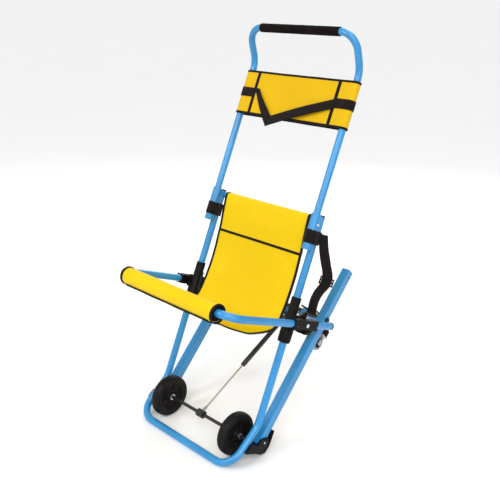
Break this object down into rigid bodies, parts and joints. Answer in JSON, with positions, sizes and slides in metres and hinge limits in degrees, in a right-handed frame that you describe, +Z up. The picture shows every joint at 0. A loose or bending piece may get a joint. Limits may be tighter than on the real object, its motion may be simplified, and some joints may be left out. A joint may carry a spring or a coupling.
{
  "type": "evacuation stair chair",
  "caption": "Folding evacuation stair chair: bent tube frame with a sliding handle, fabric sling seat, folding seat bar, belt tracks, wheels and swivel castors.",
  "frame": {"origin": "on the floor under the middle of the chair's box, chair leaning back as it is wheeled", "axes": "+Z up, -Y the way the sitter faces, +X the sitter's left"},
  "size_m": [0.59, 0.6646, 1.3518],
  "materials": {
    "blue_paint": "gloss powder coat, sky blue",
    "yellow_vinyl": "satin coated polyester, yellow",
    "black_plastic": "moulded, fine grain",
    "grip_foam": "soft matte foam",
    "webbing": "woven polyester webbing",
    "rubber": "solid rubber",
    "bright_steel": "zinc plated",
    "dark_steel": "black oxide",
    "strut_steel": "polished rod"
  },
  "bodies": {
    "frame": {"lower_frame": "blue_paint", "top_cross_tube": "blue_paint", "axle": "dark_steel", "handle_socket_left": "blue_paint", "handle_socket_right": "blue_paint", "tube_cap_left": "black_plastic", "tube_cap_right": "black_plastic", "socket_band_left": "webbing", "socket_band_right": "webbing", "pivot_block_left": "black_plastic", "pivot_block_right": "black_plastic", "lower_bracket_left": "black_plastic", "lower_bracket_right": "black_plastic", "track_pin_left": "bright_steel", "track_pin_right": "bright_steel", "axle_nut_left": "bright_steel", "axle_nut_right": "bright_steel", "hammock_back": "yellow_vinyl", "hammock_seat": "yellow_vinyl", "lap_strap": "webbing", "strap_anchor": "bright_steel"},
    "handle": {"handle_tube": "blue_paint", "foam_grip": "grip_foam", "head_restraint": "yellow_vinyl", "head_strap": "webbing"},
    "button_left": {"release_button_left": "bright_steel"},
    "button_right": {"release_button_right": "bright_steel"},
    "wheel_left": {"hub_left": "black_plastic", "tyre_left": "rubber"},
    "wheel_right": {"hub_right": "black_plastic", "tyre_right": "rubber"},
    "seat_bar": {"seat_bar": "blue_paint", "seat_roll": "yellow_vinyl", "arm_clamp_left": "black_plastic", "arm_clamp_right": "black_plastic", "arm_cap_left": "black_plastic", "arm_cap_right": "black_plastic", "pivot_bolt_left": "bright_steel", "pivot_bolt_right": "bright_steel"},
    "lock_pin": {"lock_pin": "bright_steel"},
    "tracks": {"track_housing_left": "blue_paint", "track_housing_right": "blue_paint", "track_cap_left": "blue_paint", "track_cap_right": "blue_paint", "track_belt_left": "rubber", "track_belt_right": "rubber", "track_crossbar": "dark_steel"},
    "lower_pulley_left": {"lower_pulley_left": "black_plastic"},
    "lower_pulley_right": {"lower_pulley_right": "black_plastic"},
    "upper_pulley_left": {"upper_pulley_left": "black_plastic"},
    "upper_pulley_right": {"upper_pulley_right": "black_plastic"},
    "castor_frame": {"castor_frame": "blue_paint", "castor_housing_left": "black_plastic", "castor_housing_right": "black_plastic"},
    "castor_fork_left": {"castor_fork_left": "black_plastic"},
    "castor_fork_right": {"castor_fork_right": "black_plastic"},
    "castor_wheel_left": {"castor_wheel_left": "rubber"},
    "castor_wheel_right": {"castor_wheel_right": "rubber"},
    "strut_rod": {"strut_rod": "strut_steel"},
    "strut_cylinder": {"strut_cylinder": "dark_steel"}
  },
  "joints": [
    {"name": "handle_extend", "type": "slide", "parent": "frame", "child": "handle", "axis": [0, 0.4147, 0.91], "range_m": [-0.25, 0]},
    {"name": "seat_fold", "type": "hinge", "parent": "frame", "child": "seat_bar", "pos_m": [0, 0.02496, 0.43749], "axis": [-1, 0, 0], "range_deg": [0, 72], "deforming": ["hammock_seat"]},
    {"name": "track_fold", "type": "hinge", "parent": "frame", "child": "tracks", "pos_m": [0, -0.13473, 0.0509], "axis": [1, 0, 0], "range_deg": [0, 17]},
    {"name": "castor_fold", "type": "hinge", "parent": "tracks", "child": "castor_frame", "pos_m": [0, 0.18535, 0.3882], "axis": [-1, 0, 0], "range_deg": [0, 75]},
    {"name": "strut_swing", "type": "hinge", "parent": "frame", "child": "strut_rod", "pos_m": [0, -0.18751, 0.07495], "axis": [1, 0, 0], "range_deg": [0, 23.6]},
    {"name": "strut_slide", "type": "slide", "parent": "strut_rod", "child": "strut_cylinder", "axis": [0, 0.8891, 0.4578], "range_m": [-0.1391, 0]},
    {"name": "lock_pull", "type": "slide", "parent": "seat_bar", "child": "lock_pin", "axis": [1, 0, 0], "range_m": [-0.01, 0]},
    {"name": "button_press_left", "type": "slide", "parent": "frame", "child": "button_left", "axis": [1, 0, 0], "range_m": [-0.003, 0], "stiffness_N_per_m": 400},
    {"name": "wheel_spin_left", "type": "hinge", "parent": "frame", "child": "wheel_left", "pos_m": [0.17, -0.18751, 0.07495], "axis": [1, 0, 0], "continuous": true},
    {"name": "upper_pulley_spin_left", "type": "hinge", "parent": "tracks", "child": "upper_pulley_left", "pos_m": [0.2315, 0.30169, 0.51079], "axis": [1, 0, 0], "continuous": true},
    {"name": "lower_pulley_spin_left", "type": "hinge", "parent": "tracks", "child": "lower_pulley_left", "pos_m": [0.2315, -0.13473, 0.0509], "axis": [1, 0, 0], "continuous": true},
    {"name": "castor_swivel_left", "type": "hinge", "parent": "castor_frame", "child": "castor_fork_left", "pos_m": [0.15, 0.29788, 0.26753], "axis": [0, 0.7314, 0.682], "continuous": true},
    {"name": "castor_spin_left", "type": "hinge", "parent": "castor_fork_left", "child": "castor_wheel_left", "pos_m": [0.15, 0.2545, 0.24074], "axis": [1, 0, 0], "continuous": true},
    {"name": "button_press_right", "type": "slide", "parent": "frame", "child": "button_right", "axis": [-1, 0, 0], "range_m": [-0.003, 0], "stiffness_N_per_m": 400},
    {"name": "wheel_spin_right", "type": "hinge", "parent": "frame", "child": "wheel_right", "pos_m": [-0.17, -0.18751, 0.07495], "axis": [1, 0, 0], "continuous": true},
    {"name": "upper_pulley_spin_right", "type": "hinge", "parent": "tracks", "child": "upper_pulley_right", "pos_m": [-0.2315, 0.30169, 0.51079], "axis": [1, 0, 0], "continuous": true},
    {"name": "lower_pulley_spin_right", "type": "hinge", "parent": "tracks", "child": "lower_pulley_right", "pos_m": [-0.2315, -0.13473, 0.0509], "axis": [1, 0, 0], "continuous": true},
    {"name": "castor_swivel_right", "type": "hinge", "parent": "castor_frame", "child": "castor_fork_right", "pos_m": [-0.15, 0.29788, 0.26753], "axis": [0, 0.7314, 0.682], "continuous": true},
    {"name": "castor_spin_right", "type": "hinge", "parent": "castor_fork_right", "child": "castor_wheel_right", "pos_m": [-0.15, 0.2545, 0.24074], "axis": [1, 0, 0], "continuous": true}
  ],
  "couplings": [
    {"joint": "track_fold", "follows": "seat_fold", "ratio": 0.23611},
    {"joint": "castor_fold", "follows": "seat_fold", "ratio": 1.0417},
    {"joint": "strut_swing", "follows": "seat_fold", "ratio": 0.32778},
    {"joint": "strut_slide", "follows": "seat_fold", "m_per_rad": -0.11069}
  ]
}
